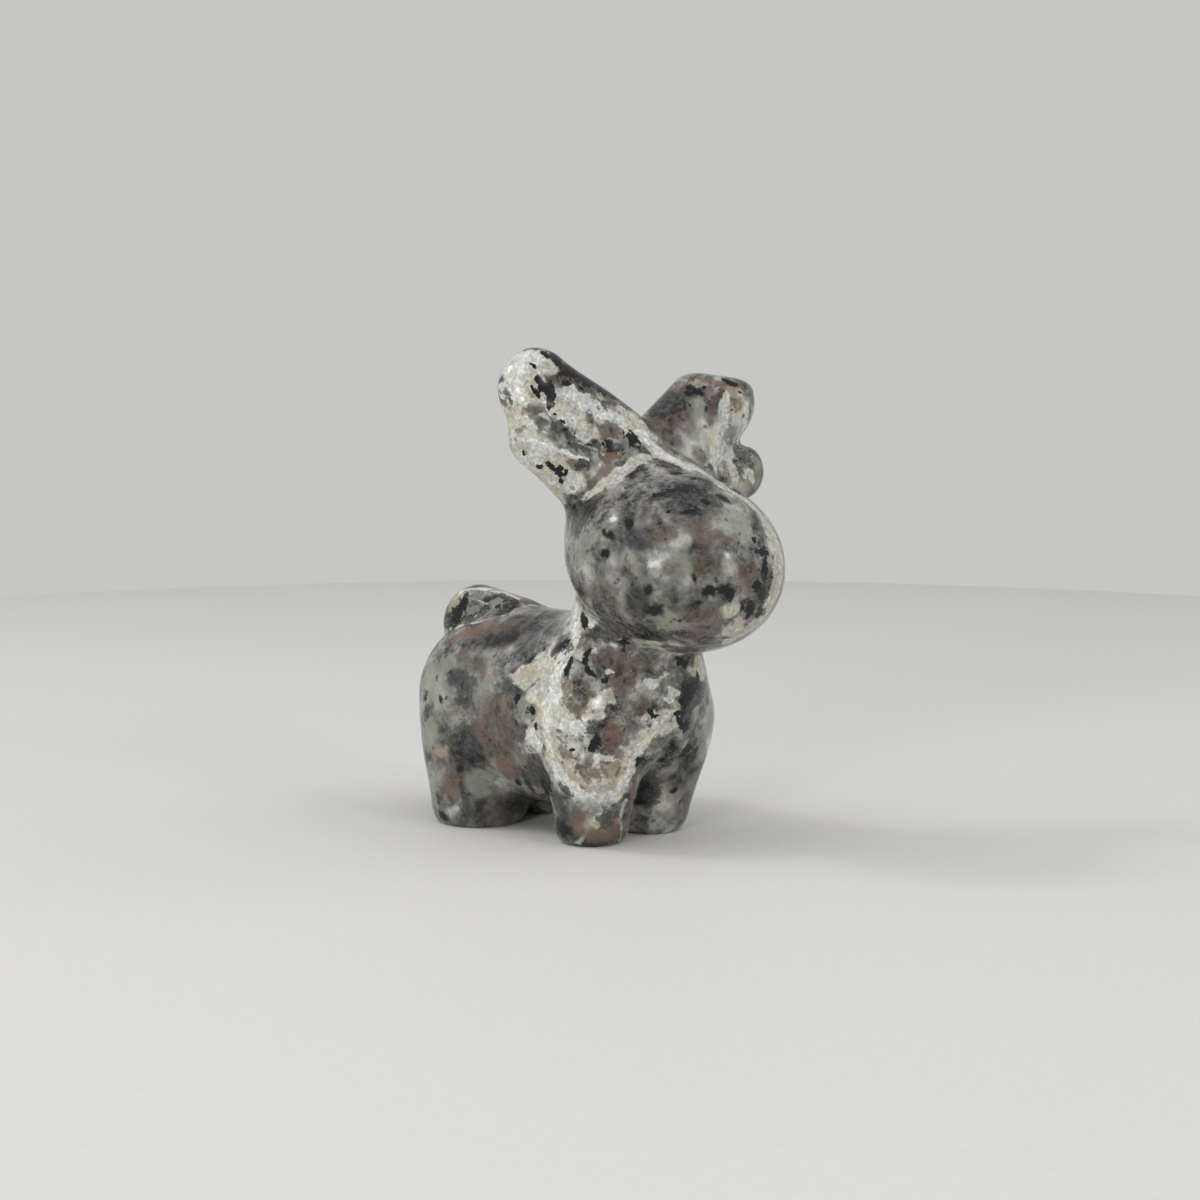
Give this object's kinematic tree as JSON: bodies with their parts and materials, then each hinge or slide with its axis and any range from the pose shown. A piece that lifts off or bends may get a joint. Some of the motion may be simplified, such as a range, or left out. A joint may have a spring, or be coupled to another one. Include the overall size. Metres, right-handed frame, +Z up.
{
  "type": "stone reindeer carving",
  "caption": "Small polished stone reindeer carving: smooth egg-shaped head, flat leaf antlers, rounded body, stout legs and a short tail, standing on flat soles.",
  "frame": {"origin": "middle of the space the carving takes, on the floor that its soles stand on", "axes": "+Z up, the animal faces -Y, and its left side is +X"},
  "size_m": [0.0292, 0.0434, 0.0474],
  "materials": {
    "speckled_stone": "polished speckled stone, grey and cream with dark elongated grains and brown patches"
  },
  "bodies": {
    "root": {"reindeer_carving": "speckled_stone"}
  },
  "joints": []
}
